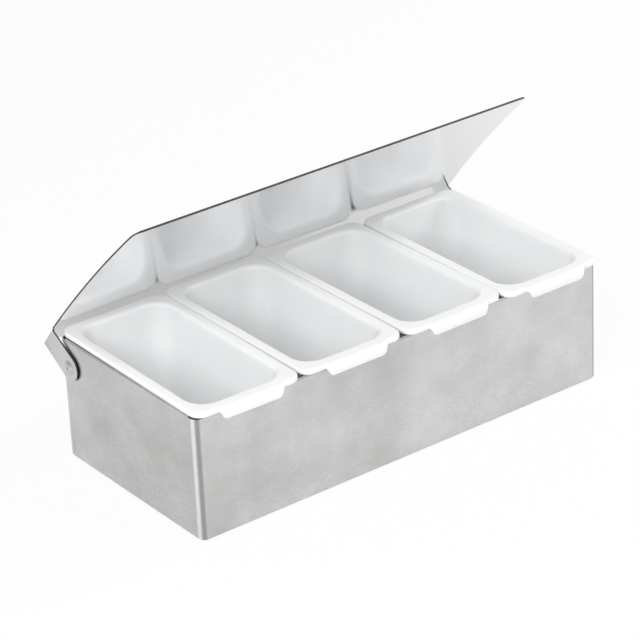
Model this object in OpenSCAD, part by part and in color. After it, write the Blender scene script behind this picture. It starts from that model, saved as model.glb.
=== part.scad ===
// Condiment box: a folded steel tray box with a hinged lid and four white drop-in tubs.
// Millimetres. +X runs along the box, -Y is the front, +Z is up.
// The origin is the middle of the underside, and the lid is drawn part open.

/* [Steel box] */
// Outside length of the steel box
box_l = 305; // [240:1:420]
// Outside depth of the steel box, front to back
box_d = 141; // [110:1:200]
// Height of the steel box, without the tub rims
box_h = 81; // [60:1:120]
// Thickness of the box's steel sheet
box_t = 0.9; // [0.7:0.1:1.4]
// Outside radius of the upright corner bends
corner_r = 5; // [4:0.5:10]
// Outside radius of the bend from the walls into the floor
floor_bend_r = 2; // [1.6:0.1:3.5]
// Height of the strip that is folded down inside each wall's top edge
hem_h = 8; // [4:0.5:12]
// Gap left between the two layers of the folded edge
hem_gap = 0.2; // [0.1:0.05:0.5]
// Length left unfolded beside each upright corner bend
hem_notch = 1.2; // [0.6:0.1:4]

/* [Tubs] */
// Space between one tub's rim and the next
tub_play = 1.3; // [1.2:0.1:2]
// How far the outer rims stay back from the box's end faces
rim_inset = 0.9; // [0.3:0.1:3]
// How far a centred tub's rim reaches past the front and rear walls
rim_reach = 2; // [1.4:0.1:3]
// Where each tub has slid to on its seat, from 0 rearmost to 1 foremost, left to right
tub_slide = [0.45, 0, 0.15, 0.75]; // [0:0.05:1]
// How far each tub is turned on its seat in degrees, left to right
tub_turn = [-0.6, 0.1, 0.8, 0.3]; // [-0.8:0.1:0.8]
// Thickness of the flat rim
rim_t = 3.4; // [2:0.1:3.6]
// Clearance between the rim's underside and the folded steel edge
rim_seat = 0.15; // [0.05:0.05:0.4]
// Outside radius of the rim's corners in plan
rim_corner_r = 8; // [5:0.5:14]
// Width of the rim along a tub's two long sides, from its outer edge to the inner wall's top
rim_side_w = 7; // [6:0.1:9]
// Width of the rim along a tub's front and rear
rim_end_w = 8.3; // [7.6:0.1:10]
// Clearance between the folded edge and the wall of a tub that has slid as far as it goes
hem_play = 0.35; // [0.2:0.05:0.8]
// Clearance between the rear edge of a tub's rim and the lid as it swings past
swing_play = 0.15; // [0.1:0.05:0.5]
// Radius of the rim's rounded upper edge
rim_round = 1; // [0.6:0.1:1.4]
// Radius of the soft fillet from the rim into the tub
rim_fillet_r = 2.5; // [1.5:0.1:4]
// Thickness of the tub's walls and floor
tub_t = 1.7; // [1.2:0.1:2.4]
// Clearance between a tub's underside and the steel floor
tub_floor_gap = 2; // [1:0.5:10]
// Draft of the tub's walls, in degrees from upright
tub_draft = 3.5; // [1:0.25:6]
// Radius of the inner corners just under the rim
inner_top_r = 13; // [9:0.5:16]
// Radius of the inner corners at the tub's floor
inner_floor_r = 17; // [12:0.5:20]
// Radius of the fillet from the tub's walls into its floor
tub_fillet_r = 8; // [5:0.5:12]

/* [Finger lips] */
// Width of the lip where it leaves the rim
lip_top_w = 48; // [36:1:52]
// Width of the lip along its lower edge
lip_bottom_w = 42; // [24:1:46]
// Drop of the lip below the top of the steel box
lip_drop = 3.6; // [2:0.2:10]
// Thickness of the lip
lip_t = 1.9; // [1.4:0.1:2.6]
// Space between the front wall and the lip of a tub in its rearmost place
lip_gap = 3.1; // [0.8:0.1:4]
// Outside radius of the curve from the rim into the lip
lip_bend_r = 3.8; // [2.8:0.1:4]

/* [Lid] */
// Thickness of the lid's steel sheet
lid_t = 1; // [0.7:0.1:1.5]
// How far the panel's ends stay inside the ears' outer faces, just in front of the ears
lid_inset = 0.5; // [0.3:0.1:2]
// How much further in each end of the panel is at its front corner
lid_taper = 6.7; // [0:0.1:10]
// Depth of the curved part of the panel, measured along the sheet
lid_arc = 128.3; // [100:0.1:190]
// Radius of the panel's slight crown, front to back
lid_crown_r = 970; // [800:10:3000]
// Radius of the panel's two front corners
lid_corner_r = 6; // [2:0.5:15]
// Angle that the lid is opened by as drawn
lid_open = 47.8; // [0:0.1:125]
// Slope of the panel's rear strip when the lid is shut
lid_rear_slope = 2; // [1.6:0.1:3]
// Height of the shut lid's rear edge above the tubs' rims
lid_lift = 4.45; // [4.2:0.05:10]
// How far the shut lid's rear edge stands behind the rear wall
lid_overhang = 1.7; // [0.8:0.1:4]

/* [Hinge] */
// Width of the ear that folds down at each end of the lid
ear_w = 16.6; // [14:0.2:24]
// Radius of the ear's rounded end, round the rivet
ear_r = 8.8; // [7:0.1:11]
// Length of the small relief cut between the panel and the front of each ear's fold
ear_relief = 0.6; // [0.4:0.1:2]
// Outside radius of the fold between panel and ear
ear_fold_r = 2; // [1.7:0.1:3]
// Space between the ear and the box's end wall
ear_gap = 0.5; // [0.3:0.1:1]
// Distance of the hinge axis from the rear wall's outer face
pivot_back = 11; // [9:0.5:20]
// Distance of the hinge axis below the top of the steel box
pivot_drop = 17; // [16:0.1:26]
// Diameter of the rivet's shank
rivet_d = 4.8; // [3:0.1:6]
// Diameter of the rivet's domed head
rivet_head_d = 9.4; // [8:0.2:12]
// Height of the rivet's domed head
rivet_head_h = 1.6; // [1:0.1:2.5]
// Diameter of the small blind hole left in the head
rivet_eye_d = 1.8; // [1:0.1:2.6]
// Diameter of the upset tail inside the wall
rivet_tail_d = 6.6; // [6.2:0.2:9]
// Length of the upset tail
rivet_tail_h = 3; // [1.5:0.25:4.5]
// Radial clearance of the rivet in the ear and in the wall
rivet_play = 0.05; // [0.02:0.01:0.1]

/* [Hidden] */

steel = [0.74, 0.74, 0.73];
bright_steel = [0.82, 0.82, 0.82];
white_plastic = [0.96, 0.97, 0.98];

// Number of tubs side by side, one for each tub in NODES
tub_count = 4;

// Overlap that joins neighbouring shapes of one piece
bond = 0.05;
// Segments of a full circle for small bends, holes and the large crown
bend_fn = 48;
hole_fn = 64;
crown_fn = 1440;
// Points on each rounded corner of a tub's outline, and steps round each fillet
corner_steps = 8;
fillet_steps = 4;

hem_r = (2 * box_t + hem_gap) / 2;
tub_pitch = (box_l - 2 * rim_inset + tub_play) / tub_count;
rim_half_x = (tub_pitch - tub_play) / 2;
rim_half_y = box_d / 2 + rim_reach;
rim_under = box_h + rim_seat;
rim_top = rim_under + rim_t;
tub_bottom = box_t + tub_floor_gap;

wall_face = box_l / 2;
ear_in = wall_face + ear_gap;
ear_out = ear_in + lid_t;
fold_x = ear_out - ear_fold_r;
panel_half = ear_out - lid_inset;
pivot_y = box_d / 2 - pivot_back;
pivot_z = box_h - pivot_drop;

// The shut lid's section, front to the left: a straight rear strip, then the crowned arc
lid_rear_y = box_d / 2 + lid_overhang;
lid_rear_z = rim_top + lid_lift;
strip_y = lid_rear_y - ear_w * cos(lid_rear_slope);
strip_z = lid_rear_z + ear_w * sin(lid_rear_slope);
crown_y = strip_y - lid_crown_r * sin(lid_rear_slope);
crown_z = strip_z - lid_crown_r * cos(lid_rear_slope);
lid_sweep = lid_arc / lid_crown_r * 180 / PI;
front_slope = lid_sweep - lid_rear_slope;
lid_front_y = crown_y - lid_crown_r * sin(front_slope);

// Middle of the panel's front corner, between the front edge and an end that leans in by the taper
relief_y = strip_y - ear_relief;
taper = atan(lid_taper / (relief_y - lid_front_y));
corner_x = panel_half - lid_taper - lid_corner_r * (1 - sin(taper)) / cos(taper);
corner_y = lid_front_y + lid_corner_r;

// A rounded rectangle about the origin, made of true arcs
module round_rect(half_x, half_y, r) {
    for (sx = [-1, 1], sy = [-1, 1])
        translate([sx * (half_x - r), sy * (half_y - r)]) circle(r = r, $fn = bend_fn);
    square([2 * (half_x - r), 2 * half_y], center = true);
    square([2 * half_x, 2 * (half_y - r)], center = true);
}

// A quarter of a ring between two radii, in the quadrant of negative X and positive Y
module quarter_ring(outer, inner) {
    intersection() {
        difference() {
            circle(r = outer, $fn = bend_fn);
            circle(r = inner, $fn = bend_fn);
        }
        translate([-outer - 1, 0]) square(outer + 1);
    }
}

// Section of a wall from its floor bend upwards, with its outer face at x = face
module wall_section(face, top) {
    translate([face - box_t, floor_bend_r]) square([box_t, top - floor_bend_r]);
    translate([face - floor_bend_r, floor_bend_r]) rotate(180)
        quarter_ring(floor_bend_r, floor_bend_r - box_t);
}

// Section of the folded top edge: a half turn over the top and a strip down the inside
module hem_section(face) {
    translate([face - hem_r, box_h - hem_r]) {
        quarter_ring(hem_r, hem_gap / 2);
        mirror([1, 0]) quarter_ring(hem_r, hem_gap / 2);
    }
    translate([face - 2 * hem_r, box_h - hem_h]) square([box_t, hem_h - hem_r]);
}

// A straight wall with its folded edge, running along X, with its outer face towards +Y
module straight_wall(length, face) {
    rotate([90, 0, 90]) {
        linear_extrude(length, center = true) wall_section(face, box_h - hem_r);
        linear_extrude(length - 2 * hem_notch, center = true) hem_section(face);
    }
}

// One upright corner bend, with the fold left off at the top
module corner_bend() {
    rotate_extrude(angle = 90, $fn = bend_fn) wall_section(corner_r, box_h - hem_r);
}

module box_shell() {
    color(steel)
    difference() {
        union() {
            for (turn = [0, 180]) rotate(turn) {
                straight_wall(box_l - 2 * corner_r, box_d / 2);
                rotate(90) straight_wall(box_d - 2 * corner_r, box_l / 2);
            }
            for (sx = [0, 1], sy = [0, 1]) mirror([sx, 0]) mirror([0, sy])
                translate([box_l / 2 - corner_r, box_d / 2 - corner_r]) corner_bend();
            linear_extrude(box_t)
                round_rect(box_l / 2 - floor_bend_r, box_d / 2 - floor_bend_r, corner_r - floor_bend_r);
        }
        translate([0, pivot_y, pivot_z]) rotate([0, 90, 0])
            cylinder(d = rivet_d + 2 * rivet_play, h = 2 * box_l, center = true, $fn = hole_fn);
    }
}

// One level of a tub: points round a rounded rectangle at a height
function corner_points(cx, cy, r, from) = [for (i = [0 : corner_steps])
    let (a = from + 90 * i / corner_steps) [cx + r * cos(a), cy + r * sin(a)]];
function level(half_x, half_y, r, z) = [for (p = concat(
    corner_points(half_x - r, half_y - r, r, 0),
    corner_points(r - half_x, half_y - r, r, 90),
    corner_points(r - half_x, r - half_y, r, 180),
    corner_points(half_x - r, r - half_y, r, 270))) [p.x, p.y, z]];

// The same, set in by a distance from the rim's edge or from the inner wall's top
function rim_level(inset, r, z) = level(rim_half_x - inset, rim_half_y - inset, r, z);
function wall_level(inset, r, z) =
    level(rim_half_x - rim_side_w - inset, rim_half_y - rim_end_w - inset, r, z);

// Inset of the inner wall from its top, and the inner corner radius, at a height
inner_top_z = rim_top - rim_fillet_r;
inner_floor_z = tub_bottom + tub_t;
function wall_inset(z) = (inner_top_z - z) * tan(tub_draft);
function wall_corner(z) =
    inner_top_r + (inner_floor_r - inner_top_r) * (inner_top_z - z) / (inner_top_z - inner_floor_z);

// One step of the fillet from a wall into a floor, with the wall's face moved out by a distance
function floor_fillet(floor_z, r, out, i) =
    let (a = 90 * i / fillet_steps, reach = r * (1 - sin(a)), z = floor_z + r * (1 - cos(a)))
    wall_level(wall_inset(floor_z + r) - out + reach, wall_corner(floor_z + r) + out - reach, z);

// A tub slides forward until its wall is next to the folded edge, and back until it is there
// or its rim comes near the strip of the lid that swings past it
wall_half_y = rim_half_y - rim_end_w - wall_inset(rim_under) + tub_t;
slide_room = box_d / 2 - 2 * hem_r - hem_play - wall_half_y;
strip_rise = (lid_rear_y - pivot_y) * sin(lid_rear_slope) + (lid_rear_z - pivot_z) * cos(lid_rear_slope);
swing_r = strip_rise - lid_t - swing_play - rim_round;
swing_rise = rim_top - rim_round - pivot_z;
swing_y = pivot_y + rim_round + sqrt(max(0, swing_r * swing_r - swing_rise * swing_rise));
foremost_y = -slide_room;
rearmost_y = max(foremost_y, min(slide_room, swing_y - rim_half_y));

// Outer skin from the floor up to the rim, over the rim, and down the inner skin to the floor
outer_levels = concat(
    [for (i = [0 : fillet_steps]) floor_fillet(tub_bottom, tub_fillet_r, tub_t, i)],
    [wall_level(wall_inset(rim_under) - tub_t, wall_corner(rim_under) + tub_t, rim_under)]);
rim_levels = [
    rim_level(0.4, rim_corner_r - 0.4, rim_under),
    rim_level(0, rim_corner_r, rim_under + 0.4),
    rim_level(0, rim_corner_r, rim_top - rim_round),
    rim_level(0.3 * rim_round, rim_corner_r - 0.3 * rim_round, rim_top - 0.3 * rim_round),
    rim_level(rim_round, rim_corner_r - rim_round, rim_top)];
inner_levels = concat(
    [for (i = [0 : fillet_steps]) let (a = 90 * i / fillet_steps)
        wall_level(-rim_fillet_r * (1 - sin(a)), inner_top_r + rim_fillet_r * (1 - sin(a)),
            rim_top - rim_fillet_r * (1 - cos(a)))],
    [for (i = [fillet_steps : -1 : 0]) floor_fillet(inner_floor_z, tub_fillet_r, 0, i)]);

// Joins a stack of levels into one closed skin
module loft(levels) {
    n = len(levels[0]);
    m = len(levels);
    polyhedron(
        points = [for (ring = levels) for (p = ring) p],
        faces = concat(
            [[for (j = [0 : n - 1]) j]],
            [for (i = [0 : m - 2], j = [0 : n - 1])
                let (a = i * n + j, b = i * n + (j + 1) % n) [a, a + n, b + n, b]],
            [[for (j = [n - 1 : -1 : 0]) (m - 1) * n + j]]));
}

// Finger lip: a strip that curves out of the rim's front edge and down over the steel wall
module finger_lip() {
    face = -box_d / 2 - rearmost_y - lip_gap - lip_t;
    bottom = box_h - lip_drop;
    root = -rim_half_y + 3;
    intersection() {
        rotate([90, 0, 90]) linear_extrude(lip_top_w, center = true) {
            translate([face, bottom + lip_t / 2]) square([lip_t, rim_top - lip_bend_r - bottom - lip_t / 2]);
            translate([face + lip_t / 2, bottom + lip_t / 2]) circle(d = lip_t, $fn = bend_fn);
            translate([face + lip_bend_r, rim_top - lip_bend_r]) quarter_ring(lip_bend_r, lip_bend_r - lip_t);
            translate([face + lip_bend_r, rim_top - lip_t]) square([root - face - lip_bend_r, lip_t]);
        }
        rotate([90, 0, 0]) linear_extrude(2 * box_d, center = true) polygon([
            [-lip_bottom_w / 2, bottom - 1], [lip_bottom_w / 2, bottom - 1],
            [lip_bottom_w / 2, bottom + 0.4], [lip_top_w / 2, rim_under], [lip_top_w / 2, rim_top + 1],
            [-lip_top_w / 2, rim_top + 1], [-lip_top_w / 2, rim_under], [-lip_bottom_w / 2, bottom + 0.4]]);
    }
}

module tub(i) {
    color(white_plastic)
    translate([(i - (tub_count - 1) / 2) * tub_pitch, rearmost_y + (foremost_y - rearmost_y) * tub_slide[i], 0])
    rotate(tub_turn[i]) {
        loft(concat(outer_levels, rim_levels, inner_levels));
        finger_lip();
    }
}

// Section of the shut lid's panel: straight strip at the rear, crowned arc to the front
module panel_section() {
    translate([lid_rear_y, lid_rear_z]) rotate(-lid_rear_slope)
        translate([-ear_w - bond, -lid_t]) square([ear_w + bond, lid_t]);
    intersection() {
        translate([crown_y, crown_z]) difference() {
            circle(r = lid_crown_r, $fn = crown_fn);
            circle(r = lid_crown_r - lid_t, $fn = crown_fn);
        }
        translate([crown_y, crown_z]) polygon([
            [-lid_crown_r * sin(front_slope) * 0.9, lid_crown_r * cos(front_slope) * 0.9],
            [-lid_crown_r * sin(front_slope) * 1.1, lid_crown_r * cos(front_slope) * 1.1],
            [lid_crown_r * sin(lid_rear_slope) * 1.1, lid_crown_r * cos(lid_rear_slope) * 1.1],
            [lid_crown_r * sin(lid_rear_slope) * 0.9, lid_crown_r * cos(lid_rear_slope) * 0.9]]);
    }
}

// Point where the straight edge from p touches the ear's rounded end, on the side given
function touch(p, side) =
    let (a = atan2(p.y, p.x) + side * acos(ear_r / norm(p))) [ear_r * cos(a), ear_r * sin(a)];

// Outline of an ear about the hinge axis, with the front to the left
module ear_outline() {
    rear = [lid_rear_y - pivot_y, lid_rear_z - pivot_z]
        - ear_fold_r * [sin(lid_rear_slope), cos(lid_rear_slope)];
    front = rear + ear_w * [-cos(lid_rear_slope), sin(lid_rear_slope)];
    circle(r = ear_r, $fn = hole_fn);
    polygon([rear, front, touch(front, 1), [0, 0], touch(rear, -1)]);
}

// Ear at the +X end: the fold out of the rear strip and the flat plate down to the rivet
module ear() {
    translate([0, lid_rear_y, lid_rear_z]) rotate([-lid_rear_slope, 0, 0]) {
        translate([fold_x - 1 - bond, -ear_w, -lid_t]) cube([1 + bond, ear_w, lid_t]);
        translate([fold_x, 0, -ear_fold_r]) rotate([90, 0, 0]) linear_extrude(ear_w) {
            mirror([1, 0]) quarter_ring(ear_fold_r, ear_fold_r - lid_t);
            translate([ear_fold_r - lid_t, -bond]) square([lid_t, 2 * bond]);
        }
    }
    translate([ear_in, pivot_y, pivot_z]) rotate([90, 0, 90]) linear_extrude(lid_t) ear_outline();
}

// Plan of the panel: it narrows from the ears to two rounded front corners
module panel_plan() {
    end = [corner_x + lid_corner_r * cos(taper), corner_y - lid_corner_r * sin(taper)];
    for (side = [-1, 1]) translate([side * corner_x, corner_y]) circle(r = lid_corner_r, $fn = hole_fn);
    translate([-corner_x, lid_front_y]) square([2 * corner_x, 2 * lid_corner_r]);
    polygon([[panel_half, relief_y], end, [-end.x, end.y], [-panel_half, relief_y]]);
    translate([1 - fold_x, relief_y - lid_t]) square([2 * fold_x - 2, lid_rear_y - relief_y + 2 * lid_t]);
}

// The lid shut: crowned panel with an ear folded down at each rear end
module shut_lid() {
    difference() {
        union() {
            intersection() {
                rotate([90, 0, 90]) linear_extrude(2 * panel_half + 2, center = true) panel_section();
                linear_extrude(2 * box_h) panel_plan();
            }
            ear();
            mirror([1, 0, 0]) ear();
        }
        translate([0, pivot_y, pivot_z]) rotate([0, 90, 0])
            cylinder(d = rivet_d + 2 * rivet_play, h = 2 * box_l, center = true, $fn = hole_fn);
    }
}

module lid() {
    color(bright_steel)
    translate([0, pivot_y, pivot_z]) rotate([-lid_open, 0, 0]) translate([0, -pivot_y, -pivot_z]) shut_lid();
}

// Blind rivet through an ear and an end wall, turned about its own axis
module rivet(side) {
    head = ear_out + rivet_play;
    inside = wall_face - box_t;
    dome_r = (pow(rivet_head_d / 2, 2) + pow(rivet_head_h, 2)) / (2 * rivet_head_h);
    color(bright_steel)
    translate([0, pivot_y, pivot_z]) rotate([0, side * 90, 0]) difference() {
        union() {
            translate([0, 0, inside - rivet_tail_h]) cylinder(d = rivet_tail_d, h = rivet_tail_h, $fn = hole_fn);
            translate([0, 0, inside - bond]) cylinder(d = rivet_d, h = head - inside + 2 * bond, $fn = hole_fn);
            intersection() {
                translate([0, 0, head + rivet_head_h - dome_r]) sphere(r = dome_r, $fn = hole_fn);
                translate([0, 0, head]) cylinder(d = 2 * rivet_head_d, h = rivet_head_h + 1, $fn = hole_fn);
            }
        }
        translate([0, 0, head]) cylinder(d = rivet_eye_d, h = rivet_head_h + 1, $fn = hole_fn);
    }
}

box_shell();
tub(0);  // tub_1
tub(1);  // tub_2
tub(2);  // tub_3
tub(3);  // tub_4
rivet(-1);  // rivet_left
rivet(1);  // rivet_right
lid();
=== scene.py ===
import bmesh
import bpy
import math
import numpy as np
from mathutils import Matrix, Vector


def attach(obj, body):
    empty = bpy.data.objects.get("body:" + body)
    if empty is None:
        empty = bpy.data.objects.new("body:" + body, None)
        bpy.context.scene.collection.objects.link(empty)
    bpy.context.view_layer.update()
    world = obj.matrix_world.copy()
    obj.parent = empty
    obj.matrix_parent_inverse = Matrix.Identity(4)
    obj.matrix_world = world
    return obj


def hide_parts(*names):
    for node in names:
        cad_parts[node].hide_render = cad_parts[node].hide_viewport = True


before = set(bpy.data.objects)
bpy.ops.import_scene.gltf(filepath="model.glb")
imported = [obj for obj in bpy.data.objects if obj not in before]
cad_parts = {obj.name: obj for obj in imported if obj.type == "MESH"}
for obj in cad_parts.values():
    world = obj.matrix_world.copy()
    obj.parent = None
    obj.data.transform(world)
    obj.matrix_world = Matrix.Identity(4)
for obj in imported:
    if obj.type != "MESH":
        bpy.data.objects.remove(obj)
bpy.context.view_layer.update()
print("frame loaded:", sorted(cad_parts))

scene = bpy.context.scene
mm = 0.001  # every size of a piece is in millimetres


cameraView = {
    "azimuth": -36.082, "elevation": 26.862, "roll": -2.765,  # degrees
    "distance": 1.85266, "target": (-0.009768, 0.0, 0.069301), "clip": (0.05, 30),  # metres
    "focalPixels": 3042.76, "picturePixels": 640, "sensor": 36.0,
}


def placeCamera(view):
    # looks at the target along the azimuth and elevation, then rolls about the line of sight
    a, e, r = (math.radians(view[k]) for k in ("azimuth", "elevation", "roll"))
    back = Vector((math.sin(a) * math.cos(e), -math.cos(a) * math.cos(e), math.sin(e)))
    right = Vector((0, 0, 1)).cross(back).normalized()
    up = back.cross(right)
    right, up = math.cos(r) * right + math.sin(r) * up, math.cos(r) * up - math.sin(r) * right
    data = bpy.data.cameras.new("camera")
    data.sensor_fit = "HORIZONTAL"
    data.sensor_width = view["sensor"]
    data.lens = view["focalPixels"] / view["picturePixels"] * view["sensor"]
    data.clip_start, data.clip_end = view["clip"]
    camera = bpy.data.objects.new("camera", data)
    scene.collection.objects.link(camera)
    turn = Matrix((right, up, back)).transposed().to_4x4()
    camera.matrix_world = Matrix.Translation(Vector(view["target"]) + view["distance"] * back) @ turn
    scene.camera = camera


placeCamera(cameraView)
print("camera placed")


class Wire:
    # one output socket: arithmetic on it adds Math nodes

    def __init__(self, tree, socket):
        self.tree, self.socket = tree, socket

    def node(self, kind, settings=None, out=0, **inputs):
        # adds a shader node; an input is named by its label, with _ for a space, or by i and its number
        made = self.tree.nodes.new("ShaderNode" + kind)
        for key, value in (settings or {}).items():
            setattr(made, key, value)
        for key, value in inputs.items():
            numbered = key[0] == "i" and key[1:].isdigit()
            slot = made.inputs[int(key[1:]) if numbered else key.replace("_", " ")]
            if isinstance(value, Wire):
                self.tree.links.new(value.socket, slot)
            else:
                slot.default_value = value
        return Wire(self.tree, made.outputs[out]) if len(made.outputs) else None

    def math(self, operation, *values):
        # one Math node, whose inputs are wires or numbers
        return self.node("Math", {"operation": operation}, **{"i%d" % i: v for i, v in enumerate(values)})

    def __add__(self, other):
        return self.math("ADD", self, other)

    def __radd__(self, other):
        return self.math("ADD", other, self)

    def __sub__(self, other):
        return self.math("SUBTRACT", self, other)

    def __rsub__(self, other):
        return self.math("SUBTRACT", other, self)

    def __mul__(self, other):
        return self.math("MULTIPLY", self, other)

    def __rmul__(self, other):
        return self.math("MULTIPLY", other, self)

    def __truediv__(self, other):
        return self.math("DIVIDE", self, other)

    def __rtruediv__(self, other):
        return self.math("DIVIDE", other, self)

    def clamp(self, low=0.0, high=1.0):
        # the value, held between low and high
        return self.math("MINIMUM", self.math("MAXIMUM", self, low), high)

    def mix(self, a, b):
        # colour a where the value is 0, colour b where it is 1
        return self.node("Mix", {"data_type": "RGBA"}, out=2, i0=self, i6=a, i7=b)

    def noise(self, scale, detail, roughness, stretch=(1, 1, 1)):
        # fractal noise on this coordinate, with features of about 1 / scale metres
        place = self.node("Mapping", i0=self, i3=stretch)
        return self.node("TexNoise", Vector=place, Scale=scale, Detail=detail, Roughness=roughness)


def newMaterial(name):
    # an empty material, and the wire of its Object coordinates
    material = bpy.data.materials.new(name)
    material.use_nodes = True
    tree = material.node_tree
    tree.nodes.clear()
    place = Wire(tree, tree.nodes.new("ShaderNodeTexCoord").outputs["Object"])
    return material, place


def finishMaterial(place, **inputs):
    # the surface is one Principled node with these inputs
    shader = place.node("BsdfPrincipled", **inputs)
    place.node("OutputMaterial", Surface=shader)


def cloudy(mask, values):
    # the base colour where mask is 0 or less, the pale one where it is 1 or more
    return mask.clamp().mix((*values["base"], 1), (*values["pale"], 1))


def uneven(change, values):
    # the material's roughness plus a change, held within its range
    return (values["roughness"] + change).clamp(*values["roughRange"])


def bumpFrom(place, height, distance):
    # a normal tilted by the slope of height, where a height of 1 stands distance metres proud
    return place.node("Bump", Height=height, Distance=distance, Strength=1.0)


satinSteel = {
    "base": (0.50, 0.50, 0.495), "pale": (0.69, 0.69, 0.685),
    # painted colours for the corner bends: a dark strip that is a painted reflection, and a light strip that
    # is a painted highlight
    "paintedDarkReflection": (0.33, 0.33, 0.325), "paintedHighlight": (0.82, 0.82, 0.82),
    "cloud": (34, 4, 0.6), "patch": (11, 2, 0.5), "lines": (900, 3, 0.65),  # scale, detail, roughness
    "roughness": 0.27, "roughRange": (0.08, 0.9), "grainMm": 0.001,
    "bendX": 147.5, "bendY": 65.5,  # where the box's flat walls end and its corner bends begin
    "paintedDarkReflectionStrip": (1.4, 2.6), "paintedHighlightStrip": (-3.0, 2.6),  # middle and half width, measured round the bend
    "stripEdge": 1.6,  # how much steeper than an even slope a strip's sides fade
}


def bendStrip(place, values, strip):
    # 1 along one upright strip of each corner bend, fading to 0 at the strip's sides and off the bend.
    # The way round the bend is a point's distance past bendY less its distance past bendX.
    x, y = (place.math("ABSOLUTE", place.node("SeparateXYZ", out=k, i0=place)) / mm for k in ("X", "Y"))
    inX, inY = x - values["bendX"], y - values["bendY"]
    middle, half = strip
    across = place.math("ABSOLUTE", inY - inX - middle)
    onBend = place.math("MINIMUM", inX, inY).clamp()
    return ((half - across) / half * values["stripEdge"]).clamp() * onBend


def satinSteelMaterial(name, values, grain, corners):
    # rolled stainless sheet: cloudy patches and fine grain drawn out along the sheet; with corners, a painted
    # highlight strip and a painted dark reflection strip run up each corner bend
    material, place = newMaterial(name)
    cloud = place.noise(*values["cloud"])
    patch = place.noise(*values["patch"])
    lines = place.noise(*values["lines"], stretch=grain)
    sheet = cloudy((cloud - 0.5) * 1.5 + (patch - 0.5) * 1.6 + (lines - 0.5) * 0.25 + 0.5, values)
    if corners:
        # a painted highlight and a painted dark reflection run up each corner bend
        sheet = bendStrip(place, values, values["paintedHighlightStrip"]).mix(sheet, (*values["paintedHighlight"], 1))
        sheet = bendStrip(place, values, values["paintedDarkReflectionStrip"]).mix(sheet, (*values["paintedDarkReflection"], 1))
    finishMaterial(
        place,
        Base_Color=sheet,
        Metallic=1.0,
        Roughness=uneven((cloud - 0.5) * 0.12 + (lines - 0.5) * 0.1, values),
        Normal=bumpFrom(place, lines + cloud * 0.6, values["grainMm"] * mm),
    )
    return material


polishedSteel = {
    "base": (0.93, 0.935, 0.94), "pale": (0.97, 0.975, 0.98),
    "wave": (9, 2, 0.5), "smoke": (45, 4, 0.6), "lines": (700, 2, 0.6), "grain": (0.03, 1, 1),
    "roughness": 0.15, "roughRange": (0.03, 0.9), "waveMm": 0.03,
}


def polishedSteelMaterial(values):
    # bright sheet whose mirror image is a little wavy and smoky
    material, place = newMaterial("polishedSteel")
    wave = place.noise(*values["wave"])
    smoke = place.noise(*values["smoke"])
    lines = place.noise(*values["lines"], stretch=values["grain"])
    finishMaterial(
        place,
        Base_Color=cloudy((smoke - 0.5) * 1.2 + 0.5, values),
        Metallic=1.0,
        Roughness=uneven((smoke - 0.5) * 0.08 + (lines - 0.5) * 0.05, values),
        Normal=bumpFrom(place, wave + lines * 0.01, values["waveMm"] * mm),
    )
    return material


# partly the real sheared edge, partly painted shade: near black so that edges and gaps show as dark lines
cutSteelAndPaintedShade = {
    "base": (0.05, 0.05, 0.053), "pale": (0.16, 0.16, 0.16), "torn": (1400, 3, 0.7),
    "roughness": 0.55, "roughRange": (0.2, 0.9), "tornMm": 0.02,
}


def cutSteelAndPaintedShadeMaterial(values):
    # sheared edge of the sheet with paler torn specks, made near black as painted shade for the dark lines
    # along edges and gaps
    material, place = newMaterial("cutSteelAndPaintedShade")
    torn = place.noise(*values["torn"])
    finishMaterial(
        place,
        Base_Color=cloudy((torn - 0.5) * 2.2 + 0.35, values),
        Metallic=1.0,
        Roughness=uneven((torn - 0.5) * 0.4, values),
        Normal=bumpFrom(place, torn, values["tornMm"] * mm),
    )
    return material


whitePlastic = {
    "base": (0.935, 0.945, 0.952), "pale": (0.955, 0.962, 0.968),
    "skin": (1600, 2, 0.5), "flow": (28, 3, 0.55), "flowStretch": (1, 0.5, 1.4),
    "roughness": 0.34, "roughRange": (0.1, 0.9), "skinMm": 0.01,
    "refraction": 1.49, "glow": 0.3, "glowReach": (0.9, 0.95, 1.0), "glowMm": 4,
}


def whitePlasticMaterial(values):
    # moulded polypropylene: soft sheen, very fine skin, faint flow clouds, and light that glows through
    material, place = newMaterial("whitePlastic")
    skin = place.noise(*values["skin"])
    flow = place.noise(*values["flow"], stretch=values["flowStretch"])
    finishMaterial(
        place,
        Base_Color=cloudy((flow - 0.5) * 1.4 + 0.5, values),
        Roughness=uneven((flow - 0.5) * 0.12 + (skin - 0.5) * 0.08, values),
        IOR=values["refraction"],
        Subsurface_Weight=values["glow"],
        Subsurface_Radius=values["glowReach"],
        Subsurface_Scale=values["glowMm"] * mm,
        Normal=bumpFrom(place, skin + flow * 2.0, values["skinMm"] * mm),
    )
    return material


finish = {
    "box": satinSteelMaterial("boxSteel", satinSteel, (0.06, 0.06, 1.0), corners=True),
    "lidOutside": satinSteelMaterial("lidSteel", satinSteel, (0.06, 1.0, 1.0), corners=False),
    "lidInside": polishedSteelMaterial(polishedSteel),
    # the edge finish carries painted shade as well as the cut steel's own tone
    "edge": cutSteelAndPaintedShadeMaterial(cutSteelAndPaintedShade),
    "plastic": whitePlasticMaterial(whitePlastic),
}
print("materials made:", len(finish))


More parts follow.
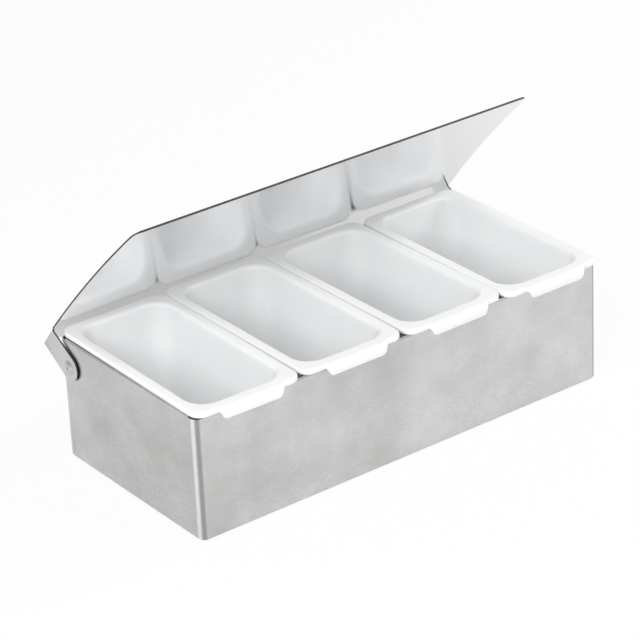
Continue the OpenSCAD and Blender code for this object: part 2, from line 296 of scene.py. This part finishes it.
class Skin:
    # gathers the points and faces of one piece, worked out as whole arrays, in millimetres

    joinMm = 0.0001  # points nearer to each other than this are one

    def __init__(self):
        self.points, self.faces, self.finishes, self.count = [], [], [], 0

    def grid(self, surface, number=0, loopColumns=False, flip=False):
        # surface[i, j] is a point, and quads join neighbouring rows and columns;
        # number says which of the piece's finishes is used, for all quads or for each one
        m, n = surface.shape[:2]
        index = np.arange(m * n).reshape(m, n) + self.count
        i, j = np.meshgrid(np.arange(m - 1), np.arange(n if loopColumns else n - 1), indexing="ij")
        i2, j2 = i + 1, (j + 1) % n
        quads = np.stack([index[i, j], index[i2, j], index[i2, j2], index[i, j2]], -1).reshape(-1, 4)
        if flip:
            quads = quads[:, ::-1]
        self.points.append(surface.reshape(-1, 3))
        self.faces += quads.tolist()
        self.finishes += np.broadcast_to(number, i.shape).ravel().tolist()
        self.count += m * n
        return index

    def cap(self, ring, number=0, flip=False):
        # one flat face across a ring of points that are already there
        ring = list(map(int, ring))
        self.faces.append(ring[::-1] if flip else ring)
        self.finishes.append(number)

    def object(self, name, finishes, body, nodes, sharpDegrees=38):
        # the finished piece: a smooth-shaded mesh, sharp where faces meet at more than sharpDegrees
        mesh = bpy.data.meshes.new(name)
        mesh.from_pydata((np.concatenate(self.points) * mm).tolist(), [], self.faces)
        mesh.polygons.foreach_set("material_index", np.array(self.finishes, np.int32))
        mesh.polygons.foreach_set("use_smooth", np.ones(len(self.faces), bool))
        # points that meet are joined, so the shell is closed, and its faces are turned outwards
        shell = bmesh.new()
        shell.from_mesh(mesh)
        bmesh.ops.remove_doubles(shell, verts=shell.verts, dist=self.joinMm * mm)
        bmesh.ops.recalc_face_normals(shell, faces=shell.faces)
        shell.to_mesh(mesh)
        shell.free()
        mesh.update()
        mesh.set_sharp_from_angle(angle=math.radians(sharpDegrees))
        piece = bpy.data.objects.new(name, mesh)
        scene.collection.objects.link(piece)
        for material in finishes:
            mesh.materials.append(material)
        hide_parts(*nodes)
        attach(piece, body)
        print("made", name, len(self.faces), "faces")


def roundedRing(alongX, alongY, perCorner, bunch=None):
    # Unit ring round a rounded rectangle: corner-centre factors (cx, cy) and outward direction (ct, st).
    # A point is (cx * (halfX - r) + r * ct, cy * (halfY - r) + r * st), anticlockwise from the +X +Y corner.
    # bunch gives the places along the front side, as shares of it from left to right.
    turn = np.linspace(0, math.pi / 2, perCorner)
    sign = [(1, 1), (-1, 1), (-1, -1), (1, -1)]
    cx, cy, angle = [], [], []
    for k in range(4):
        sx, sy = sign[k]
        nx, ny = sign[(k + 1) % 4]
        quarter = turn + k * math.pi / 2
        count = alongX if k in (0, 2) else alongY
        t = bunch if k == 2 and bunch is not None else np.linspace(0, 1, count + 2)[1:-1]
        cx += [np.full(perCorner, float(sx)), sx + (nx - sx) * t]
        cy += [np.full(perCorner, float(sy)), sy + (ny - sy) * t]
        angle += [quarter, np.full(len(t), quarter[-1])]
    cx, cy, angle = np.concatenate(cx), np.concatenate(cy), np.concatenate(angle)
    return cx, cy, np.cos(angle), np.sin(angle)


def ringPoints(ring, halfX, halfY, r, z):
    # halfX, halfY, r and z are one value for each row; the result is rows x columns x 3
    cx, cy, ct, st = ring
    halfX, halfY, r, z = (np.asarray(v, float)[:, None] for v in (halfX, halfY, r, z))
    return np.stack([cx * (halfX - r) + r * ct, cy * (halfY - r) + r * st, z + 0 * cx], -1)


def arc(centre, radius, start, end, steps):
    # points of a circular arc in a plane, angles in degrees
    a = np.radians(np.linspace(start, end, steps))
    return np.stack([centre[0] + radius * np.cos(a), centre[1] + radius * np.sin(a)], -1)


boxSize = {
    "length": 305, "depth": 141, "height": 81, "sheet": 0.9, "cornerR": 5, "bendR": 2,
    "hemHeight": 8, "hemGap": 0.2, "hemNotch": 1.2,
    "wallFrom": 8, "hemStep": 1,  # first row of the wall over the floor, and of the hem under its roll
    "columnsX": 24, "columnsY": 16, "columnsCorner": 14, "columnsHem": 40,
    "rowsBend": 9, "rowsWall": 8, "rowsRoll": 15, "rowsHem": 5, "rowsInRoll": 7,
}


def boxShell(size):
    # A folded sheet: the wall's section, as distance in from the outer face and height, is carried round
    # a rounded rectangle. The hem is a second section along each straight wall, closed at its ends.
    skin = Skin()
    sheet, bend, top = size["sheet"], size["bendR"], size["height"]
    halfLength, halfDepth = size["length"] / 2, size["depth"] / 2
    hemR = (2 * sheet + size["hemGap"]) / 2
    ring = roundedRing(size["columnsX"], size["columnsY"], size["columnsCorner"])
    wallZ = np.linspace(size["wallFrom"], top - hemR, size["rowsWall"])
    section = np.concatenate([
        arc((bend, bend), bend, 270, 180, size["rowsBend"]),
        np.stack([0 * wallZ, wallZ], -1),
        np.stack([sheet + 0 * wallZ, np.linspace(top - hemR, size["wallFrom"], size["rowsWall"])], -1),
        arc((bend, bend), bend - sheet, 180, 270, size["rowsBend"]),
    ])
    inwards, height = section[:, 0], section[:, 1]
    walls = ringPoints(ring, halfLength - inwards, halfDepth - inwards, size["cornerR"] - inwards, height)
    index = skin.grid(walls, loopColumns=True, flip=True)
    skin.cap(index[0], flip=True)
    skin.cap(index[-1])

    rollZ, hemFoot = top - hemR, top - size["hemHeight"]
    downZ = np.linspace(rollZ - size["hemStep"], hemFoot, size["rowsHem"])
    upZ = np.linspace(hemFoot, rollZ - size["hemStep"], size["rowsHem"])
    hem = np.concatenate([
        arc((hemR, rollZ), hemR, 180, 0, size["rowsRoll"]),
        np.stack([2 * hemR + 0 * downZ, downZ], -1),
        np.stack([2 * hemR - sheet + 0 * upZ, upZ], -1),
        arc((hemR, rollZ), size["hemGap"] / 2, 0, 180, size["rowsInRoll"]),
    ])
    up = np.array([0, 0, 1.0])
    sides = [(0, 1, halfLength, halfDepth), (0, -1, halfLength, halfDepth),
             (1, 0, halfDepth, halfLength), (-1, 0, halfDepth, halfLength)]
    for sx, sy, half, face in sides:
        reach = half - size["cornerR"] - size["hemNotch"]
        along = np.linspace(-reach, reach, size["columnsHem"])[:, None, None]
        normal, tangent = np.array([sx, sy, 0.0]), np.array([-sy, sx, 0.0])
        strip = (face - hem[:, 0])[:, None] * normal + along * tangent + hem[:, 1, None] * up
        index = skin.grid(strip, loopColumns=True)
        skin.cap(index[0])
        skin.cap(index[-1], flip=True)
    skin.object("boxShell", [finish["box"]], "base", ["box_shell"])


tubSize = {
    "count": 4, "gap": 1.3, "rimInset": 0.9,  # space between two rims, and from the box's end faces
    "placeY": (-0.688, 0.636, 0.195, -1.570), "turn": (-0.6, 0.1, 0.8, 0.3),
    "rimReach": 2, "rimSeat": 0.15, "rimSheet": 3.4, "rimCornerR": 8, "rimSideW": 7.0, "rimEndW": 8.3,
    "rimSoft": 0.4, "lipSoft": 0.3,  # bevel under the rim's edge, and step where the lip's sheet leaves it
    "wall": 1.7, "floorGap": 2, "draft": 3.5, "innerTopR": 13, "innerFloorR": 17, "floorR": 8,
    "filletR": 2.5, "shoulderR": 1.2,  # from the rim into the tub, and from its underside to the outside
    "lipTopHalf": 24, "lipBottomHalf": 21, "lipOut": 3.636, "lipSheet": 1.9,
    "lipBendR": 3.8, "lipDrop": 3.6, "lipCornerR": 3.2,
    # columns along the front: across the lip, close together at its ends, and on to the rim's corners
    "middleTo": 15.5, "closeFrom": 16.5, "closeTo": 25.2, "endFrom": 25.9, "endShare": 0.97,
    "columnsMiddle": 16, "columnsClose": 44, "columnsEnd": 4, "columnsSide": 22, "columnsCorner": 12,
    # rows over the flat rim: share of its width from the edge, corner radius and, on top, inset
    "underShare": (0.5, 0.32, 0.16), "underR": (12.5, 10.5, 9.0),
    "topShare": (0.18, 0.34, 0.5), "topR": (7.9, 9.5, 11.8), "topInset": (0.3, 0, 0),
    # rows elsewhere, and the height left free of them beside the fillets
    "rowsFloorOut": 11, "rowsOutside": 9, "rowsShoulder": 5, "rowsLip": 17, "rowsLipEdge": 9,
    "rowsFillet": 9, "rowsInside": 12, "rowsFloorIn": 13, "freeOutside": 6, "freeInside": 4,
}


def lipLength(x, size, full):
    # how far the lip runs out from the rim's edge, across the tub:
    # full in the middle, with rounded lower corners and steep ends
    a = np.abs(x)
    corner, side, foot = size["lipCornerR"], size["lipBottomHalf"], size["lipTopHalf"]
    flat = side - corner
    rounded = full - corner + np.sqrt(np.clip(corner ** 2 - np.clip(a - flat, 0, corner) ** 2, 0, None))
    steep = (full - corner) * np.clip((foot - a) / (foot - side), 0, 1)
    return np.where(a < side, rounded, steep)


def quarterTurn(steps):
    # angles from 0 to 90 degrees, in radians
    return np.radians(np.linspace(0, 90, steps))


def tub(size, box, i):
    # A moulding: rows follow the section from the underside up the outside, round the rim and down
    # the inside, and columns run round the plan. In front, the rim's edge rows run out along the lip's
    # curve by lipLength and come back under it.
    skin = Skin()
    wall, floorR, filletR, shoulderR = size["wall"], size["floorR"], size["filletR"], size["shoulderR"]
    pitch = (box["length"] - 2 * size["rimInset"] + size["gap"]) / size["count"]
    rimX, rimY = (pitch - size["gap"]) / 2, box["depth"] / 2 + size["rimReach"]
    under = box["height"] + size["rimSeat"]
    top = under + size["rimSheet"]
    straight = rimX - size["rimCornerR"]
    close = np.linspace(size["closeFrom"], size["closeTo"], size["columnsClose"])
    ends = np.linspace(size["endFrom"], straight * size["endShare"], size["columnsEnd"])
    middle = np.linspace(-size["middleTo"], size["middleTo"], size["columnsMiddle"])
    xs = np.concatenate([-ends[::-1], -close[::-1], middle, close, ends])
    onSide, onCorner = size["columnsSide"], size["columnsCorner"]
    ring = roundedRing(onSide, onSide, onCorner, bunch=(xs / straight + 1) / 2)
    cx, cy, ct, st = ring

    floorZ = box["sheet"] + size["floorGap"]
    innerTopZ, innerFloorZ = top - filletR, floorZ + wall
    slope = math.tan(math.radians(size["draft"]))
    grow = (size["innerFloorR"] - size["innerTopR"]) / (innerTopZ - innerFloorZ)

    def inset(z):
        # the drafted inner wall, measured in from its top
        return (innerTopZ - z) * slope

    def corner(z):
        # the inner wall's corner radius, which grows evenly from its top to its floor
        return size["innerTopR"] + grow * (innerTopZ - z)

    def rows(insets, radii, z, share=1.0):
        # share is 0 at the rim's edge and 1 at the inner wall's top
        insets = np.asarray(insets, float)
        share = np.asarray(share, float)
        halfX = rimX - share * size["rimSideW"] - insets
        halfY = rimY - share * size["rimEndW"] - insets
        return ringPoints(ring, halfX, halfY, radii, z)

    def floorRows(z, a):
        # rows of the quarter circle that joins the floor at z to the wall: inset, corner radius and height
        reach = floorR * (1 - np.sin(a))
        join = z + floorR
        return inset(join) + reach, corner(join) - reach, z + floorR * (1 - np.cos(a))

    # underside and outside, up to the rim
    insets, radii, z = floorRows(floorZ, quarterTurn(size["rowsFloorOut"]))
    below = rows(insets - wall, radii + wall, z)
    z = np.linspace(floorZ + floorR + size["freeOutside"], under - shoulderR, size["rowsOutside"])
    outside = rows(inset(z) - wall, corner(z) + wall, z)
    b = quarterTurn(size["rowsShoulder"])[1:]
    shoulder = rows(inset(under) - wall - shoulderR * (1 - np.cos(b)), corner(under) + wall + 0 * b,
                    under - shoulderR + shoulderR * np.sin(b))
    soft = size["rimSoft"]
    flange = rows([0, 0, 0, soft], [*size["underR"], size["rimCornerR"] - soft], [under] * 4,
                  [*size["underShare"], 0])

    # rim's edge and lip: e is the distance out from the rim's edge, h the height
    t, bendR, out = size["lipSheet"], size["lipBendR"], size["lipOut"]
    first = out - bendR + t / 2
    bend = bendR * math.pi / 2
    full = first + bend + (top - bendR - (box["height"] - size["lipDrop"]) - t / 2)
    isFront = (cy == -1) & (st < -0.999)  # columns whose edge faces straight forwards
    length = np.where(isFront, lipLength(cx * straight, size, full), 0.0)

    def lipPath(s):
        # the lip's outer face at length s: straight out, a quarter circle, then straight down,
        # with the direction that points out of it
        phi = np.clip((s - first) / bendR, 0, math.pi / 2)
        down = np.clip(s - first - bend, 0, None)
        e = -t / 2 + np.minimum(s, first) + bendR * np.sin(phi)
        h = top - bendR * (1 - np.cos(phi)) - down
        return e, h, np.sin(phi), np.cos(phi)

    steps = np.linspace(0, 1, size["rowsLip"])[:, None]
    e, h, ne, nh = lipPath(steps * length)
    innerE, innerH = np.maximum(e - t * ne, 0), h - t * nh
    # the lip's free edge is a half circle from the inner face round to the outer one
    lastE, lastH, lastNe, lastNh = (v[-1][None] for v in (e, h, ne, nh))
    alpha = np.radians(np.linspace(0, 180, size["rowsLipEdge"]))[1:-1][:, None]
    roundE = lastE - t / 2 * (lastNe * (1 + np.cos(alpha)) - lastNh * np.sin(alpha))
    roundH = lastH - t / 2 * (lastNh * (1 + np.cos(alpha)) + lastNe * np.sin(alpha))
    roundE = np.where(alpha < math.pi / 2, np.maximum(roundE, 0), roundE)
    zero = 0 * cx[None]
    edgeE = np.concatenate([zero, zero, innerE, roundE, e[::-1]])
    edgeH = np.concatenate([under + soft + zero, top - t - size["lipSoft"] + zero, innerH, roundH, h[::-1]])
    r = size["rimCornerR"] + edgeE
    edge = np.stack([cx * (rimX + edgeE - r) + r * ct, cy * (rimY + edgeE - r) + r * st, edgeH], -1)

    # top of the rim and inside, down to the floor
    flat = rows(size["topInset"], size["topR"], [top] * 3, size["topShare"])
    f = quarterTurn(size["rowsFillet"])
    roll = filletR * (1 - np.sin(f))
    fillet = rows(-roll, size["innerTopR"] + roll, top - filletR * (1 - np.cos(f)))
    free = size["freeInside"]
    z = np.linspace(innerTopZ - free, innerFloorZ + floorR + free, size["rowsInside"])
    inside = rows(inset(z), corner(z), z)
    floor = rows(*floorRows(innerFloorZ, quarterTurn(size["rowsFloorIn"])[::-1]))

    surface = np.concatenate([below, outside, shoulder, flange, edge, flat, fillet, inside, floor])
    angle = math.radians(size["turn"][i])
    cosine, sine = math.cos(angle), math.sin(angle)
    turn = np.array([[cosine, sine, 0], [-sine, cosine, 0], [0, 0, 1]])
    place = np.array([(i - (size["count"] - 1) / 2) * pitch, size["placeY"][i], 0])
    index = skin.grid(surface @ turn + place, loopColumns=True, flip=True)
    skin.cap(index[0], flip=True)
    skin.cap(index[-1])
    name = "tub%d" % (i + 1)
    skin.object(name, [finish["plastic"]], "base", ["tub_%d" % (i + 1)], sharpDegrees=50)


lidSize = {
    "sheet": 1.0, "arc": 128.3, "crownR": 970, "cornerR": 6, "open": 47.8, "edgeBand": 1.4,
    "taper": 6.7, "relief": 0.6, "rearSlope": 2, "earWidth": 16.6, "earR": 8.8, "foldR": 2,
    # places, set out from the box: panel's ends and ears' inner faces, rear edge, and rivets
    "panelHalf": boxSize["length"] / 2 + 1.0, "earInner": boxSize["length"] / 2 + 0.5,
    "rearY": boxSize["depth"] / 2 + 1.7, "rearZ": boxSize["height"] + 8.0,
    "pivot": (boxSize["depth"] / 2 - 11, boxSize["height"] - 17),
    "reliefShare": 0.8, "cornerTurn": 80,  # last row in the relief cut, and last angle in a front corner
    "rowsPanel": 44, "rowsCorner": 11, "columns": 61, "stepsFold": 9, "stepsRound": 41, "stepsStraight": 8,
    "hair": 0.01,  # lengths nearer than this count as the same
}


def openLid(points, size):
    # turns points of the shut lid about the rivets by the opening angle
    a = math.radians(-size["open"])
    py, pz = size["pivot"]
    y, z = points[..., 1] - py, points[..., 2] - pz
    turned = points.copy()
    turned[..., 1] = y * math.cos(a) - z * math.sin(a) + py
    turned[..., 2] = y * math.sin(a) + z * math.cos(a) + pz
    return turned


def lidPanel(skin, size, foldX):
    # Rows run from the rear edge along a straight strip and then a wide arc to the front. Columns run
    # across, to a half width that steps out past the ears, then leans in and rounds off at the corners.
    slope, radius, corner = math.radians(size["rearSlope"]), size["crownR"], size["cornerR"]
    arcLength, relief, edgeBand = size["arc"], size["relief"], size["edgeBand"]
    back = np.array([-size["earWidth"]])
    cornerTurn = np.radians(np.linspace(0, size["cornerTurn"], size["rowsCorner"]))
    front = np.concatenate([
        [0, relief * size["reliefShare"]],
        np.linspace(relief, arcLength - corner, size["rowsPanel"])[:-1],
        arcLength - corner * (1 - np.sin(cornerTurn)),
        [arcLength],
    ])
    along = np.concatenate([back, np.sort(np.append(front, arcLength - edgeBand))])
    t = slope - np.clip(along, 0, None) / radius
    stripY = size["rearY"] - size["earWidth"] * math.cos(slope)
    stripZ = size["rearZ"] + size["earWidth"] * math.sin(slope)
    y = stripY + radius * (np.sin(t) - math.sin(slope)) - np.clip(along, None, 0) * math.cos(slope)
    z = stripZ + radius * (np.cos(t) - math.cos(slope)) + np.clip(along, None, 0) * math.sin(slope)

    frontY, reliefY = y[-1], stripY - relief
    lean = math.atan(size["taper"] / (reliefY - frontY))
    cornerX = size["panelHalf"] - size["taper"] - corner * (1 - math.sin(lean)) / math.cos(lean)
    down = np.clip(frontY + corner - y, 0, corner)
    half = np.where(down > corner * math.sin(lean), cornerX + np.sqrt(corner ** 2 - down ** 2),
                    size["panelHalf"] - (reliefY - y) * math.tan(lean))
    half = np.where(along < relief - size["hair"], foldX, half)
    x = (half[:, None] - edgeBand) * np.linspace(-1, 1, size["columns"])
    x = np.concatenate([-half[:, None], x, half[:, None]], 1)
    upper = np.stack([x, y[:, None] + 0 * x, z[:, None] + 0 * x], -1)
    normal = np.stack([0 * t, np.sin(t), np.cos(t)], -1)
    lower = upper - size["sheet"] * normal[:, None]
    upper, lower = openLid(upper, size), openLid(lower, size)

    # a narrow band along the underside's front edge takes the near-black edge finish: painted shade along the
    # lid's front edge
    border = np.ones((len(along) - 1, x.shape[1] - 1), int)
    border[along[:-1] >= arcLength - edgeBand - size["hair"]] = 2
    skin.grid(upper, 0, flip=True)
    skin.grid(lower, border)
    free = slice(len(back), None)
    rims = [(upper[0], lower[0], False), (upper[-1], lower[-1], True),
            (upper[free, 0], lower[free, 0], True), (upper[free, -1], lower[free, -1], False)]
    # the panel's cut edges take the near-black edge finish, which is partly painted shade
    for top, bottom, flip in rims:
        skin.grid(np.stack([top, bottom]), 2, flip=flip)


def lidEar(skin, size, foldX, side):
    # A fold, as a quarter circle across the sheet carried along the ear's width, and a flat plate whose
    # outline is two tangents to a circle round the rivet.
    slope = math.radians(size["rearSlope"])
    along = np.array([[0], [size["earWidth"]]])

    def fold(radius):
        # a quarter circle of this radius, carried from the rear edge to the ear's front
        section = arc((foldX, -size["foldR"]), radius, 90, 0, size["stepsFold"])
        y = size["rearY"] - along * math.cos(slope) + section[None, :, 1] * math.sin(slope)
        z = size["rearZ"] + along * math.sin(slope) + section[None, :, 1] * math.cos(slope)
        return openLid(np.stack([side * section[None, :, 0] + 0 * y, y, z], -1), size)

    over, beneath = fold(size["foldR"]), fold(size["foldR"] - size["sheet"])
    skin.grid(over, 0, flip=side < 0)
    skin.grid(beneath, 1, flip=side > 0)
    # the fold's cut ends take the near-black edge finish, which is partly painted shade
    skin.grid(np.stack([over[0], beneath[0]]), 2, flip=side > 0)
    skin.grid(np.stack([over[-1], beneath[-1]]), 2, flip=side < 0)

    py, pz = size["pivot"]
    rear = np.array([size["rearY"] - py, size["rearZ"] - pz])
    rear = rear - size["foldR"] * np.array([math.sin(slope), math.cos(slope)])
    fore = rear + size["earWidth"] * np.array([-math.cos(slope), math.sin(slope)])

    def touch(p, way):
        # angle at which the straight edge from p touches the round end
        return math.degrees(math.atan2(p[1], p[0]) + way * math.acos(size["earR"] / np.hypot(*p)))

    def line(p, q, n):
        # n points spaced evenly from p to q
        return p + (q - p) * np.linspace(0, 1, n)[:, None]

    steps = size["stepsStraight"]
    roundEnd = arc((0, 0), size["earR"], touch(fore, 1), touch(rear, -1) + 360, size["stepsRound"])
    outline = np.concatenate([
        line(fore, roundEnd[0], steps)[:-1],
        roundEnd,
        line(roundEnd[-1], rear, steps)[1:],
    ])
    outlineY, outlineZ = outline[:, 0] + py, outline[:, 1] + pz
    faces = [side * (size["earInner"] + thickness) + 0 * outlineY for thickness in (0, size["sheet"])]
    plate = openLid(np.stack([np.stack([x, outlineY, outlineZ], -1) for x in faces]), size)
    # the ear's cut edge takes the near-black edge finish: partly painted shade for the dark line between the
    # ear and the wall
    edge = skin.grid(plate, 2, flip=side > 0)
    skin.cap(edge[0], 1, flip=side < 0)
    skin.cap(edge[1], 0, flip=side > 0)


def lidPiece(size):
    # one sheet: crowned panel and an ear folded down at each rear end;
    # its finishes are 0 outside, 1 inside and 2 on the cut edges and the underside's front band, where 2 is
    # near black with painted shade
    skin = Skin()
    foldX = size["earInner"] + size["sheet"] - size["foldR"]
    lidPanel(skin, size, foldX)
    for side in (-1, 1):
        lidEar(skin, size, foldX, side)
    finishes = [finish["lidOutside"], finish["lidInside"], finish["edge"]]
    skin.object("lidSheet", finishes, "lid", ["lid"], sharpDegrees=30)


rivetSize = {
    "shank": 4.8, "headD": 9.4, "headH": 1.6, "headGap": 0.05, "eyeD": 1.8, "eyeDepth": 1.4,
    "tailD": 6.6, "tailH": 3.0, "tailRound": 0.6, "tailEdge": (0.3, 0.4),
    "eyeFlat": 0.8, "eyeStep": 0.2, "edge": 0.15, "rim": 0.02,  # small steps of the hole and the head
    "poleR": 0.02,  # the end faces' radius, small enough to look like a point
    "domeFrom": 1, "stepsDome": 14, "columns": 48,  # the dome starts 1 degree past the hole
}


def rivet(size, box, lid, side, name, node):
    # a section (radius, distance from the box's middle) spun round the hinge axis:
    # blind hole, domed head, shank, upset tail
    skin = Skin()
    r, h = size["headD"] / 2, size["headH"]
    domeR = (r * r + h * h) / (2 * h)
    eye, pole, edge = size["eyeD"] / 2, size["poleR"], size["edge"]
    shank, tail = size["shank"] / 2, size["tailD"] / 2
    lean = math.degrees(math.asin(eye / domeR))
    rimAngle = math.degrees(math.asin(r / domeR))
    wall, head = box["length"] / 2 - box["sheet"], lid["earInner"] + lid["sheet"] + size["headGap"]
    dome = arc((0, head + h - domeR), domeR, 90 - lean - size["domeFrom"], 90 - rimAngle, size["stepsDome"])
    top = dome[0, 1]
    bottom, end = top - size["eyeDepth"], wall - size["tailH"]
    section = np.concatenate([
        [[pole, bottom], [eye * size["eyeFlat"], bottom], [eye, bottom + size["eyeStep"]], [eye, top - edge]],
        dome,
        [[r, head + size["rim"]], [r - edge, head], [shank, head], [shank, wall]],
        [[tail - size["tailEdge"][0], wall], [tail, wall - size["tailEdge"][1]]],
        [[tail, end + size["tailRound"]], [tail - size["tailRound"], end], [pole, end]],
    ])
    spin = np.radians(np.linspace(0, 360, size["columns"] + 1)[:-1])[None, :]
    radius, x = section[:, 0][:, None], section[:, 1][:, None]
    py, pz = lid["pivot"]
    surface = np.stack([side * x + 0 * spin, py + radius * np.cos(spin), pz + radius * np.sin(spin)], -1)
    index = skin.grid(surface, 0, loopColumns=True, flip=side < 0)
    # the blind hole's floor takes the near-black edge finish: painted shade inside the hole
    skin.cap(index[0], 1, flip=side > 0)
    skin.cap(index[-1], 0, flip=side < 0)
    skin.object(name, [finish["box"], finish["edge"]], "base", [node], sharpDegrees=35)


boxShell(boxSize)
for i in range(tubSize["count"]):
    tub(tubSize, boxSize, i)
lidPiece(lidSize)
rivet(rivetSize, boxSize, lidSize, -1, "rivetLeft", "rivet_left")
rivet(rivetSize, boxSize, lidSize, 1, "rivetRight", "rivet_right")


studio = {
    "floorColour": 0.93, "worldLight": 0.54, "cameraShare": 0.9, "mirrorShare": 0.1,
    "floorHalf": 4.0, "floorZ": -0.0003,  # metres, just under the box
}


def seenShare(place, cameraShare, mirrorShare):
    # 0 for light on the object, cameraShare for the camera, mirrorShare for metal and glass
    camera, glossy, through = (place.node("LightPath", out="Is %s Ray" % kind)
                               for kind in ("Camera", "Glossy", "Transmission"))
    return camera * cameraShare + (glossy + through) * mirrorShare


def studioFloor(values):
    # pale paper that the camera sees nearer white, with the object's shadow kept
    half, z = values["floorHalf"], values["floorZ"]
    mesh = bpy.data.meshes.new("floor")
    corners = [(-half, -half, z), (half, -half, z), (half, half, z), (-half, half, z)]
    mesh.from_pydata(corners, [], [(0, 1, 2, 3)])
    floor = bpy.data.objects.new("floor", mesh)
    scene.collection.objects.link(floor)
    material, place = newMaterial("floorPaper")
    c = values["floorColour"]
    paper = place.node("BsdfDiffuse", Color=(c, c, c, 1))
    white = place.node("Emission", Color=(1, 1, 1, 1), Strength=1.0)
    share = seenShare(place, values["cameraShare"], values["mirrorShare"])
    shader = place.node("MixShader", i0=share, i1=paper, i2=white)
    place.node("OutputMaterial", Surface=shader)
    mesh.materials.append(material)


def worldLight(values):
    # even light from all round, seen as white by the camera
    world = bpy.data.worlds.new("studio")
    scene.world = world
    world.use_nodes = True
    tree = world.node_tree
    tree.nodes.clear()
    start = Wire(tree, None)
    share = seenShare(start, 1.0, values["mirrorShare"])
    strength = share * (1 - values["worldLight"]) + values["worldLight"]
    sky = start.node("Background", Color=(1, 1, 1, 1), Strength=strength)
    start.node("OutputWorld", Surface=sky)


def lamp(name, place, aim, size, power):
    # a rectangular area lamp at place, turned towards aim, in metres and watts
    data = bpy.data.lights.new(name, "AREA")
    data.shape, data.size, data.size_y, data.energy = "RECTANGLE", size[0], size[1], power
    light = bpy.data.objects.new(name, data)
    scene.collection.objects.link(light)
    light.location = place
    light.rotation_euler = (Vector(place) - Vector(aim)).to_track_quat("Z", "Y").to_euler()


lamps = {
    "frontLeft": {"place": (-1.05, -0.70, 0.92), "aim": (0, 0, 0.08), "size": (0.8, 0.8), "power": 12.5},
    "right": {"place": (1.2, -0.30, 0.85), "aim": (0, 0, 0.05), "size": (0.6, 0.6), "power": 8.0},
}
studioFloor(studio)
worldLight(studio)
for name, values in lamps.items():
    lamp(name, **values)
print("studio lit")

scene.view_settings.view_transform = "Standard"
